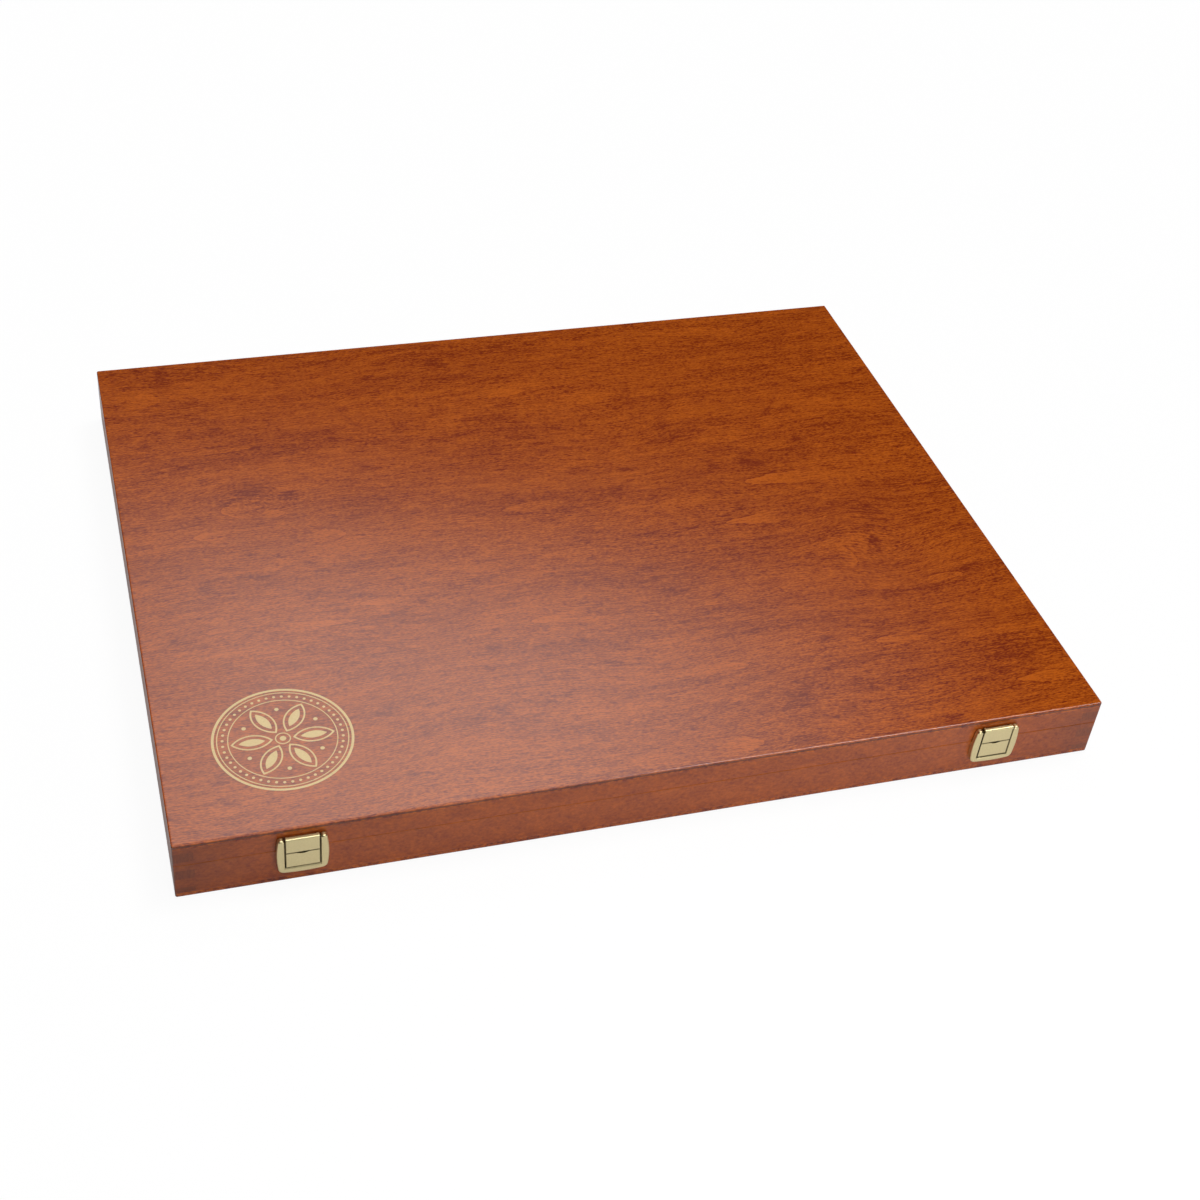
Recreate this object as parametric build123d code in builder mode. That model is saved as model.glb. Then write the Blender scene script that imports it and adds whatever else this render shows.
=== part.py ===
# A flat wooden case for soft pastels: a finger-jointed tray with a hinged lid and two brass snap latches.
# Millimetres. The origin is under the middle of the case, on the surface it stands on.
# +X runs to the right along the front, +Y to the back and +Z up.
import os
from itertools import product
from math import sqrt

from build123d import *

os.makedirs("parts", exist_ok=True)

# The wooden case
box_width = 480.0
box_depth = 390.0
bottom_panel_thickness = 3.0
top_panel_thickness = 3.0
base_rail_height = 18.9
lid_rail_height = 11.1
rail_thickness = 9.8
upright_edge_radius = 1.0
panel_rim_radius = 1.0
seam_chamfer = 0.3
first_finger_height = 3.0
finger_height = 5.85

# The padded inside
lane_count = 5
divider_thickness = 3.0
divider_height = 16.5
foam_clearance = 0.3
foam_bed_height = 10.0
groove_count = 40
groove_radius = 5.4
groove_depth = 3.6
lid_pad_lift = 0.4

# The two butt hinges
hinge_end_distance = 90.0
hinge_width = 28.0
leaf_depth = 8.5
leaf_thickness = 0.9
leaf_sink = 0.05
leaf_notch_clearance = 0.2
knuckle_count = 5
knuckle_end_gap = 0.1
hinge_pin_radius = 0.75
pin_clearance = 0.05
hinge_screw_spacing = 16.0
hinge_screw_inset = 4.2
screw_head_radius = 1.6
screw_head_depth = 0.7
screw_shank_radius = 0.8
screw_length = 6.0

# The two latches: sizes along the front, up from the table, and out from the wood
latch_end_distance = 60.0
catch_width = 25.0
catch_side_bulge = 1.0
catch_bottom = 9.0
catch_bottom_bulge = 0.8
catch_leg_top = 30.8
catch_leg_width = 4.0
catch_leg_end_flat = 0.1
catch_corner_radius = 3.0
catch_proud = 3.2
catch_edge_radius = 1.0
catch_lid_clearance = 0.4
window_bottom = 11.8
web_thickness = 0.6
web_seam_gap = 0.5
panel_side_gap = 0.4
plate_edge_radius = 0.2
seam_slit = 0.15
tongue_thickness = 0.4
tongue_front = 2.8
tongue_bottom_gap = 0.3
tongue_back_height = 8.4
tongue_bend_radius = 0.35
nail_notch_width = 6.5
nail_notch_depth = 0.9
hasp_front = 2.9
hasp_thickness = 0.7
hasp_lip_depth = 1.6
hasp_lip_height = 0.6
hasp_bar_front = 3.4
hasp_bar_height = 1.8
hasp_bar_step = 0.5
hasp_bar_radius = 0.8
hasp_top = 31.5
hasp_heel_radius = 1.3
hasp_wood_clearance = 0.15
hasp_cheek_width = 1.3
hasp_pin_radius = 0.45
bracket_knuckle_wall = 0.4
bracket_knuckle_clearance = 0.1
bracket_side_clearance = 0.2
bracket_thickness = 0.5
bracket_height = 7.1
nail_shank_radius = 0.5
nail_head_radius = 1.2
nail_head_height = 0.45
nail_length = 7.0
catch_nail_inset = 3.5
catch_nail_height = 16.5
bracket_nail_inset = 2.6
bracket_nail_height = 26.0

# Heights and places that follow from them
rails_bottom = bottom_panel_thickness
seam_height = rails_bottom + base_rail_height
rails_top = seam_height + lid_rail_height
box_height = rails_top + top_panel_thickness
inner_width = box_width - 2 * rail_thickness
inner_depth = box_depth - 2 * rail_thickness
lane_depth = (inner_depth - (lane_count - 1) * divider_thickness) / lane_count
lane_pitch = lane_depth + divider_thickness
wood_front = box_depth / 2
knuckle_radius = hinge_pin_radius + pin_clearance + leaf_thickness
hinge_axis_y = box_depth / 2 + knuckle_radius
hinge_screw_y = box_depth / 2 - hinge_screw_inset
mortise_depth = leaf_thickness + leaf_sink
window_width = catch_width - 2 * catch_leg_width
catch_leg_end_radius = (catch_leg_width - catch_side_bulge - catch_leg_end_flat) / 2
hasp_width = window_width - 2 * panel_side_gap
hasp_pin_proud = hasp_heel_radius + hasp_wood_clearance
hasp_pin_height = hasp_top - hasp_heel_radius
bracket_knuckle_radius = hasp_pin_radius + pin_clearance + bracket_knuckle_wall
bracket_width = hasp_width - 2 * hasp_cheek_width - 2 * bracket_side_clearance
catch_nail_spacing = window_width - 2 * catch_nail_inset
bracket_nail_spacing = bracket_width - 2 * bracket_nail_inset
sides = {"left": -1, "right": 1}
hinge_centres = {side: sign * (box_width / 2 - hinge_end_distance) for side, sign in sides.items()}
latch_centres = {side: sign * (box_width / 2 - latch_end_distance) for side, sign in sides.items()}


def latch_front_plane(centre_x, proud=0.0):
    """The plane on the front of the wood, or this far out of it, centred on a latch."""
    return Plane(origin=(centre_x, -wood_front - proud, 0), x_dir=(1, 0, 0), z_dir=(0, -1, 0))


def latch_side_plane(centre_x):
    """The plane across the middle of a latch, with the sketch's X pointing out of the wood."""
    return Plane(origin=(centre_x, -wood_front, 0), x_dir=(0, -1, 0), z_dir=(-1, 0, 0))


def save(piece, name):
    """Name a finished piece and write it."""
    piece.part.label = name
    export_step(piece.part, f"parts/{name}.step")


def hinge_screws(face_height, into):
    """All the hinge screws of the lid or the base, driven up (into = 1) or down (-1)."""
    with BuildPart() as screws:
        for hinge_x, end in product(hinge_centres.values(), (-1, 1)):
            spot = (hinge_x + end * hinge_screw_spacing / 2, hinge_screw_y, face_height)
            with BuildSketch(Plane(origin=spot, x_dir=(1, 0, 0), z_dir=(0, -1, 0))):
                with BuildLine():
                    Polyline(
                        (0, 0),
                        (screw_head_radius, 0),
                        (screw_shank_radius, into * screw_head_depth),
                        (screw_shank_radius, into * screw_length),
                        (0, into * screw_length),
                        close=True,
                    )
                make_face()
            revolve(axis=Axis(spot, (0, 0, 1)))
    return screws


def nail_pair(centre_x, spacing, height, seat):
    """Two flat-headed nails in the front rail, their heads resting this far out of the wood."""
    with BuildPart() as nails:
        with BuildSketch(latch_front_plane(centre_x, seat)):
            with Locations((0, height)):
                with GridLocations(spacing, 1, 2, 1):
                    Circle(nail_head_radius)
        extrude(amount=nail_head_height)
        with BuildSketch(latch_front_plane(centre_x, seat)):
            with Locations((0, height)):
                with GridLocations(spacing, 1, 2, 1):
                    Circle(nail_shank_radius)
        extrude(amount=-nail_length)
    return nails


def finger_bands(low, high):
    """The end fingers between two heights, each with whether the front and back rails fill it."""
    bands = []
    upper = rails_top
    lower = rails_top - first_finger_height
    front_fills = True
    while upper > low:
        if lower < high:
            bands.append((max(lower, low), min(upper, high), front_fills))
        upper = lower
        lower = lower - finger_height
        front_fills = not front_fills
    return bands


def make_panel(name, low, thickness, rim):
    """A flat panel glued over the whole frame of rails, with one rounded rim."""
    with BuildPart() as panel:
        with BuildSketch(Plane.XY.offset(low)):
            RectangleRounded(box_width, box_depth, upright_edge_radius)
        extrude(amount=thickness)
        rim_face = panel.faces().sort_by(Axis.Z)[rim]
        fillet(rim_face.edges(), panel_rim_radius)
    save(panel, name)


def make_rail(name, low, high, along_front, side, mortised=False, fasteners=()):
    """One rail of the lid or the base, with its end fingers, hinge mortises and fastener holes."""
    seam_up = -1 if high == seam_height else 1
    with BuildPart() as rail:
        with BuildSketch(Plane.XY.offset(low)):
            RectangleRounded(box_width, box_depth, upright_edge_radius)
            if along_front:
                with Locations((0, side * (box_depth - rail_thickness) / 2)):
                    Rectangle(box_width, rail_thickness, mode=Mode.INTERSECT)
            else:
                with Locations((side * (box_width - rail_thickness) / 2, 0)):
                    Rectangle(rail_thickness, box_depth, mode=Mode.INTERSECT)
        extrude(amount=high - low)
        for lower, upper, front_fills in finger_bands(low, high):
            if front_fills != along_front:
                with BuildSketch(Plane.XY.offset(lower)):
                    with GridLocations(box_width - rail_thickness, box_depth - rail_thickness, 2, 2):
                        Rectangle(rail_thickness, rail_thickness)
                extrude(amount=upper - lower, mode=Mode.SUBTRACT)
        seam_edges = rail.edges().filter_by(
            lambda edge: abs(edge.center().Z - seam_height) < 0.01
            and (
                abs(edge.center().X) > box_width / 2 - upright_edge_radius
                or abs(edge.center().Y) > box_depth / 2 - upright_edge_radius
            )
        )
        chamfer(seam_edges, seam_chamfer)
        if mortised:
            with BuildSketch(Plane.XY.offset(seam_height)):
                for hinge_x in hinge_centres.values():
                    with Locations((hinge_x, (box_depth - leaf_depth) / 2)):
                        Rectangle(hinge_width, leaf_depth)
            extrude(amount=seam_up * mortise_depth, mode=Mode.SUBTRACT)
        for group in fasteners:
            add(group.part, mode=Mode.SUBTRACT)
    save(rail, name)


def make_hinge_leaf(name, centre_x, up, screws):
    """One leaf of a hinge: a plate let into the rail edge, with every other knuckle on it."""
    first_owned = 0 if up < 0 else 1
    knuckle_pitch = hinge_width / knuckle_count
    plate_front = box_depth / 2 - leaf_depth
    plate_back = box_depth / 2 - leaf_notch_clearance
    with BuildPart() as leaf:
        with BuildSketch(Plane.XY.offset(seam_height + up * leaf_sink)):
            with Locations((centre_x, (plate_front + plate_back) / 2)):
                Rectangle(hinge_width, plate_back - plate_front)
            for index in range(first_owned, knuckle_count, 2):
                knuckle_x = centre_x + (index - (knuckle_count - 1) / 2) * knuckle_pitch
                with Locations((knuckle_x, (plate_front + hinge_axis_y) / 2)):
                    Rectangle(knuckle_pitch - 2 * knuckle_end_gap, hinge_axis_y - plate_front)
        extrude(amount=up * leaf_thickness)
        for index in range(first_owned, knuckle_count, 2):
            knuckle_x = centre_x + (index - (knuckle_count - 1) / 2) * knuckle_pitch
            with BuildSketch(Plane.YZ.offset(knuckle_x)):
                with Locations((hinge_axis_y, seam_height)):
                    Circle(knuckle_radius)
            extrude(amount=knuckle_pitch / 2 - knuckle_end_gap, both=True)
        with BuildSketch(Plane.YZ.offset(centre_x)):
            with Locations((hinge_axis_y, seam_height)):
                Circle(hinge_pin_radius + pin_clearance)
        extrude(amount=hinge_width, both=True, mode=Mode.SUBTRACT)
        add(screws.part, mode=Mode.SUBTRACT)
    save(leaf, name)


def make_hinge_pin(name, centre_x):
    """The wire pin through a hinge's knuckles."""
    with BuildPart() as pin:
        with BuildSketch(Plane.YZ.offset(centre_x)):
            with Locations((hinge_axis_y, seam_height)):
                Circle(hinge_pin_radius)
        extrude(amount=hinge_width / 2, both=True)
    save(pin, name)


def make_divider(name, index):
    """A thin strip of wood between two lanes."""
    centre_y = (index - lane_count / 2) * lane_pitch
    with BuildPart() as divider:
        with BuildSketch(Plane.XY.offset(bottom_panel_thickness)):
            with Locations((0, centre_y)):
                Rectangle(inner_width, divider_thickness)
        extrude(amount=divider_height)
    save(divider, name)


def make_foam_bed(name, index):
    """A foam bed in one lane, its top scalloped into a row of grooves that hold the sticks."""
    bed_width = inner_width - 2 * foam_clearance
    bed_depth = lane_depth - 2 * foam_clearance
    bed_top = bottom_panel_thickness + foam_bed_height
    lane_centre_y = (index - (lane_count + 1) / 2) * lane_pitch
    groove_pitch = bed_width / groove_count
    half_chord = sqrt(groove_radius**2 - (groove_radius - groove_depth) ** 2)
    with BuildPart() as bed:
        with BuildSketch(Plane.XZ.offset(bed_depth / 2 - lane_centre_y)):
            with BuildLine():
                corner = (-bed_width / 2, bed_top)
                for groove in range(groove_count):
                    centre_x = (groove - (groove_count - 1) / 2) * groove_pitch
                    near = (centre_x - half_chord, bed_top)
                    far = (centre_x + half_chord, bed_top)
                    Line(corner, near)
                    ThreePointArc(near, (centre_x, bed_top - groove_depth), far)
                    corner = far
                Polyline(
                    corner,
                    (bed_width / 2, bed_top),
                    (bed_width / 2, bottom_panel_thickness),
                    (-bed_width / 2, bottom_panel_thickness),
                    (-bed_width / 2, bed_top),
                )
            make_face()
        extrude(amount=-bed_depth)
    save(bed, name)


def make_lid_pad():
    """The foam pad that fills the lid and keeps the sticks in their grooves."""
    pad_face = seam_height + lid_pad_lift
    with BuildPart() as pad:
        with BuildSketch(Plane.XY.offset(pad_face)):
            Rectangle(inner_width - 2 * foam_clearance, inner_depth - 2 * foam_clearance)
        extrude(amount=rails_top - pad_face)
    save(pad, "lid_foam_pad")


def make_catch_frame(name, centre_x, nails):
    """The U-shaped frame on the base, rounded all over its front, with a thin web inside it."""
    half_width = catch_width / 2
    half_end = half_width - catch_side_bulge
    half_window = window_width / 2
    middle = (catch_bottom + catch_leg_top) / 2
    window_top = seam_height - web_seam_gap
    with BuildPart() as frame:
        with BuildSketch(latch_front_plane(centre_x)) as outline:
            with BuildLine():
                ThreePointArc((-half_end, catch_leg_top), (-half_width, middle), (-half_end, catch_bottom))
                ThreePointArc(
                    (-half_end, catch_bottom),
                    (0, catch_bottom - catch_bottom_bulge),
                    (half_end, catch_bottom),
                )
                ThreePointArc((half_end, catch_bottom), (half_width, middle), (half_end, catch_leg_top))
                Polyline(
                    (half_end, catch_leg_top),
                    (half_window, catch_leg_top),
                    (half_window, window_bottom),
                    (-half_window, window_bottom),
                    (-half_window, catch_leg_top),
                    (-half_end, catch_leg_top),
                )
            make_face()
            fillet(outline.vertices().group_by(Axis.Y)[0], catch_corner_radius)
            fillet(outline.vertices().group_by(Axis.Y)[-1], catch_leg_end_radius)
        extrude(amount=catch_proud)
        fillet(frame.faces().sort_by(Axis.Y)[0].edges(), catch_edge_radius)
        with BuildSketch(latch_front_plane(centre_x)):
            with Locations((0, (window_top + box_height) / 2)):
                Rectangle(2 * catch_width, box_height - window_top)
        extrude(amount=catch_lid_clearance, mode=Mode.SUBTRACT)
        with BuildSketch(latch_front_plane(centre_x)):
            with Locations((0, (window_bottom + window_top) / 2)):
                Rectangle(window_width, window_top - window_bottom)
        extrude(amount=web_thickness)
        add(nails.part, mode=Mode.SUBTRACT)
    save(frame, name)


def make_catch_tongue(name, centre_x, nails):
    """The bent spring in the window: a back leaf on the web and the lower plate in front of it."""
    low = window_bottom + tongue_bottom_gap
    high = seam_height - seam_slit
    inner_back = web_thickness + tongue_thickness
    inner_front = tongue_front - tongue_thickness
    notch_radius = (nail_notch_width**2 / 4 + nail_notch_depth**2) / (2 * nail_notch_depth)
    with BuildPart() as tongue:
        with BuildSketch(latch_side_plane(centre_x)) as section:
            with BuildLine():
                Polyline(
                    (web_thickness, low),
                    (tongue_front, low),
                    (tongue_front, high),
                    (inner_front, high),
                    (inner_front, low + tongue_thickness),
                    (inner_back, low + tongue_thickness),
                    (inner_back, low + tongue_back_height),
                    (web_thickness, low + tongue_back_height),
                    close=True,
                )
            make_face()
            fillet(section.vertices().group_by(Axis.Y)[0], tongue_bend_radius)
            top_corner = section.vertices().group_by(Axis.Y)[-1].sort_by(Axis.X)[-1]
            fillet(top_corner, plate_edge_radius)
        extrude(amount=hasp_width / 2, both=True)
        with BuildSketch(latch_front_plane(centre_x, inner_front)):
            with Locations((0, high + notch_radius - nail_notch_depth)):
                Circle(notch_radius)
        extrude(amount=2 * tongue_thickness, mode=Mode.SUBTRACT)
        add(nails.part, mode=Mode.SUBTRACT)
    save(tongue, name)


def make_hasp(name, centre_x):
    """The upper flap: a plate with a turned-in lip, hung from a hollow bar that hides its hinge."""
    low = seam_height + seam_slit
    back = hasp_front - hasp_thickness
    bar_low = hasp_top - hasp_bar_height
    heel_back = hasp_pin_proud - hasp_heel_radius
    heel_low = hasp_pin_height - hasp_heel_radius
    hollow_radius = bracket_knuckle_radius + bracket_knuckle_clearance
    with BuildPart() as hasp:
        with BuildSketch(latch_side_plane(centre_x)) as section:
            with BuildLine():
                Polyline(
                    (hasp_pin_proud, heel_low),
                    (back, heel_low),
                    (back, low + hasp_lip_height),
                    (hasp_front - hasp_lip_depth, low + hasp_lip_height),
                    (hasp_front - hasp_lip_depth, low),
                    (hasp_front, low),
                    (hasp_front, bar_low),
                    (hasp_bar_front, bar_low + hasp_bar_step),
                    (hasp_bar_front, hasp_top),
                    (hasp_pin_proud, hasp_top),
                )
                ThreePointArc(
                    (hasp_pin_proud, hasp_top),
                    (heel_back, hasp_pin_height),
                    (hasp_pin_proud, heel_low),
                )
            make_face()
            bar_corner = section.vertices().group_by(Axis.Y)[-1].sort_by(Axis.X)[-1]
            fillet(bar_corner, hasp_bar_radius)
            lip_corner = section.vertices().group_by(Axis.Y)[0].sort_by(Axis.X)[-1]
            fillet(lip_corner, plate_edge_radius)
        extrude(amount=hasp_width / 2, both=True)
        with BuildSketch(latch_side_plane(centre_x)):
            with Locations((hasp_pin_proud, hasp_pin_height)):
                Circle(hollow_radius)
            with Locations(((hasp_pin_proud + bracket_knuckle_clearance) / 2, hasp_pin_height)):
                Rectangle(hasp_pin_proud + bracket_knuckle_clearance, 3 * hasp_heel_radius)
            with Locations((back / 2, hasp_pin_height - hasp_heel_radius)):
                Rectangle(back, 2 * hasp_heel_radius)
        extrude(amount=hasp_width / 2 - hasp_cheek_width, both=True, mode=Mode.SUBTRACT)
        with BuildSketch(latch_side_plane(centre_x)):
            with Locations((hasp_pin_proud, hasp_pin_height)):
                Circle(hasp_pin_radius + pin_clearance)
        extrude(amount=hasp_width, both=True, mode=Mode.SUBTRACT)
    save(hasp, name)


def make_hasp_pin(name, centre_x):
    """The wire pin that the hasp swings on."""
    with BuildPart() as pin:
        with BuildSketch(latch_side_plane(centre_x)):
            with Locations((hasp_pin_proud, hasp_pin_height)):
                Circle(hasp_pin_radius)
        extrude(amount=hasp_width / 2, both=True)
    save(pin, name)


def make_hasp_bracket(name, centre_x, nails):
    """The plate nailed to the lid under the hasp, curled round the pin at its top edge."""
    plate_top = hasp_pin_height - bracket_knuckle_clearance
    neck_low = hasp_pin_height - bracket_knuckle_radius
    with BuildPart() as bracket:
        with BuildSketch(latch_side_plane(centre_x)):
            with Locations((bracket_thickness / 2, plate_top - bracket_height / 2)):
                Rectangle(bracket_thickness, bracket_height)
            with Locations((hasp_pin_proud / 2, (plate_top + neck_low) / 2)):
                Rectangle(hasp_pin_proud, plate_top - neck_low)
            with Locations((hasp_pin_proud, hasp_pin_height)):
                Circle(bracket_knuckle_radius)
                Circle(hasp_pin_radius + pin_clearance, mode=Mode.SUBTRACT)
        extrude(amount=bracket_width / 2, both=True)
        add(nails.part, mode=Mode.SUBTRACT)
    save(bracket, name)


# Fasteners first, because the pieces that they hold are drilled with them
base_screws = hinge_screws(seam_height - leaf_sink, -1)
lid_screws = hinge_screws(seam_height + leaf_sink, 1)
save(base_screws, "base_hinge_screws")
save(lid_screws, "lid_hinge_screws")

catch_nails = {}
bracket_nails = {}
for side, centre in latch_centres.items():
    catch_seat = web_thickness + tongue_thickness
    catch_nails[side] = nail_pair(centre, catch_nail_spacing, catch_nail_height, catch_seat)
    bracket_nails[side] = nail_pair(centre, bracket_nail_spacing, bracket_nail_height, bracket_thickness)
    save(catch_nails[side], f"{side}_catch_nails")
    save(bracket_nails[side], f"{side}_bracket_nails")

# The wooden base and lid
make_panel("base_bottom_panel", 0, bottom_panel_thickness, 0)
make_panel("lid_top_panel", rails_top, top_panel_thickness, -1)
make_rail("base_front_rail", rails_bottom, seam_height, True, -1, fasteners=catch_nails.values())
make_rail("base_back_rail", rails_bottom, seam_height, True, 1, mortised=True, fasteners=[base_screws])
make_rail("lid_front_rail", seam_height, rails_top, True, -1, fasteners=bracket_nails.values())
make_rail("lid_back_rail", seam_height, rails_top, True, 1, mortised=True, fasteners=[lid_screws])
for side, sign in sides.items():
    make_rail(f"base_{side}_rail", rails_bottom, seam_height, False, sign)
    make_rail(f"lid_{side}_rail", seam_height, rails_top, False, sign)

# The inside
for index in range(1, lane_count):
    make_divider(f"lane_divider_{index}", index)
for index in range(1, lane_count + 1):
    make_foam_bed(f"foam_bed_{index}", index)
make_lid_pad()

# The hinges and the latches
for side, centre in hinge_centres.items():
    make_hinge_leaf(f"{side}_hinge_base_leaf", centre, -1, base_screws)
    make_hinge_leaf(f"{side}_hinge_lid_leaf", centre, 1, lid_screws)
    make_hinge_pin(f"{side}_hinge_pin", centre)
for side, centre in latch_centres.items():
    make_catch_frame(f"{side}_catch_frame", centre, catch_nails[side])
    make_catch_tongue(f"{side}_catch_tongue", centre, catch_nails[side])
    make_hasp(f"{side}_hasp", centre)
    make_hasp_pin(f"{side}_hasp_pin", centre)
    make_hasp_bracket(f"{side}_hasp_bracket", centre, bracket_nails[side])
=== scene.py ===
"""The looks of a stained wooden pastel case with two brass snap latches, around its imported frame."""

import math

import bmesh
import bpy
from mathutils import Matrix, Vector, noise


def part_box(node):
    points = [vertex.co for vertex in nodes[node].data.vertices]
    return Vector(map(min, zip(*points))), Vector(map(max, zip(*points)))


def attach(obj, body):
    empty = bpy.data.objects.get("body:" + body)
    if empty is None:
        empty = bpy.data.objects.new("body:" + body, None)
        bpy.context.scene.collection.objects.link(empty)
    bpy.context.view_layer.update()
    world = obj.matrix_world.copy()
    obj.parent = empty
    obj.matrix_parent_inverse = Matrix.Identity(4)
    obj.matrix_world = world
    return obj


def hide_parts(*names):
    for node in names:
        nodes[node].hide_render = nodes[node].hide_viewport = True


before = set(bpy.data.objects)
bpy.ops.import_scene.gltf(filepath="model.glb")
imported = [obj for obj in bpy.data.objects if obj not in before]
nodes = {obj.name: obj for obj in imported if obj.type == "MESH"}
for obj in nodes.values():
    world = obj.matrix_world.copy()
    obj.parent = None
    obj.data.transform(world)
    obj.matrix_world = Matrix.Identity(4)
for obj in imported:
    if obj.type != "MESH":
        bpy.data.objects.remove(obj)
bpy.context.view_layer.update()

MM = 0.001

# The case, read from the frame
case_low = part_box("base_bottom_panel")[0]
case_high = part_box("lid_top_panel")[1]
seam_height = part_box("base_front_rail")[1].z


# Shader building


def feed(tree, socket, value):
    """Set an input socket to a value, or link it to another node's output."""
    if isinstance(value, bpy.types.NodeSocket):
        tree.links.new(value, socket)
    else:
        socket.default_value = value


def add_node(tree, kind, inputs=None, **settings):
    """A new node with its settings, and inputs that are values or other nodes' outputs."""
    node = tree.nodes.new(kind)
    for name, value in settings.items():
        setattr(node, name, value)
    for name, value in (inputs or {}).items():
        feed(tree, node.inputs[name], value)
    return node


def maths(tree, operation, first, second=0.0, clamp=False):
    """The output of one Math node."""
    node = add_node(tree, "ShaderNodeMath", {0: first, 1: second}, operation=operation, use_clamp=clamp)
    return node.outputs[0]


def combine(tree, operation, first, second=(0, 0, 0)):
    """The vector that a Vector Math node puts out."""
    node = add_node(tree, "ShaderNodeVectorMath", {0: first, 1: second}, operation=operation)
    return node.outputs["Vector"]


def measure(tree, operation, first, second=(0, 0, 0)):
    """The number that a Vector Math node puts out."""
    node = add_node(tree, "ShaderNodeVectorMath", {0: first, 1: second}, operation=operation)
    return node.outputs["Value"]


def split(tree, vector):
    """A vector's X, Y and Z."""
    return add_node(tree, "ShaderNodeSeparateXYZ", {0: vector}).outputs


def sideways_only(tree, amount):
    """A vector along Y alone."""
    return add_node(tree, "ShaderNodeCombineXYZ", {"Y": amount}).outputs[0]


def remap(tree, value, low, high, to_low=0.0, to_high=1.0):
    """A value eased from one range to another."""
    inputs = {"Value": value, "From Min": low, "From Max": high, "To Min": to_low, "To Max": to_high}
    return add_node(tree, "ShaderNodeMapRange", inputs, interpolation_type="SMOOTHSTEP").outputs["Result"]


def stretched(tree, vector, sizes, place=(0, 0, 0)):
    """Coordinates divided by a feature's size in millimetres along X, Y and Z."""
    scale = tuple(1 / (size * MM) for size in sizes)
    inputs = {"Vector": vector, "Location": place, "Scale": scale}
    return add_node(tree, "ShaderNodeMapping", inputs, vector_type="POINT").outputs[0]


def cloud_noise(tree, vector, detail=2.0, roughness=0.5, distortion=0.0):
    """Soft noise with features about one unit across."""
    inputs = {"Vector": vector, "Detail": detail, "Roughness": roughness, "Distortion": distortion}
    return add_node(tree, "ShaderNodeTexNoise", {"Scale": 1.0, **inputs}).outputs["Fac"]


def mix_colour(tree, factor, first, second):
    """Two colours mixed."""
    # The Mix node's own numbers for its colour sockets
    inputs = {0: factor, 6: first, 7: second}
    return add_node(tree, "ShaderNodeMix", inputs, data_type="RGBA").outputs[2]


def new_group(name, inputs, outputs):
    """A shader node group with named inputs and outputs, and its inside input and output sockets."""
    tree = bpy.data.node_groups.new(name, "ShaderNodeTree")
    for label, kind, default in inputs:
        socket = tree.interface.new_socket(label, in_out="INPUT", socket_type=kind)
        if default is not None:
            socket.default_value = default
    for label, kind in outputs:
        tree.interface.new_socket(label, in_out="OUTPUT", socket_type=kind)
    given, out = tree.nodes.new("NodeGroupInput"), tree.nodes.new("NodeGroupOutput")
    return tree, given.outputs, out.inputs


def place_group(tree, group, **inputs):
    """A node group placed in a tree, its inputs given with underscores for spaces."""
    node = tree.nodes.new("ShaderNodeGroup")
    node.node_tree = group
    for label, value in inputs.items():
        feed(tree, node.inputs[label.replace("_", " ")], value)
    return node.outputs


FLOAT = "NodeSocketFloat"
COLOUR = "NodeSocketColor"
VECTOR = "NodeSocketVector"


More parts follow.
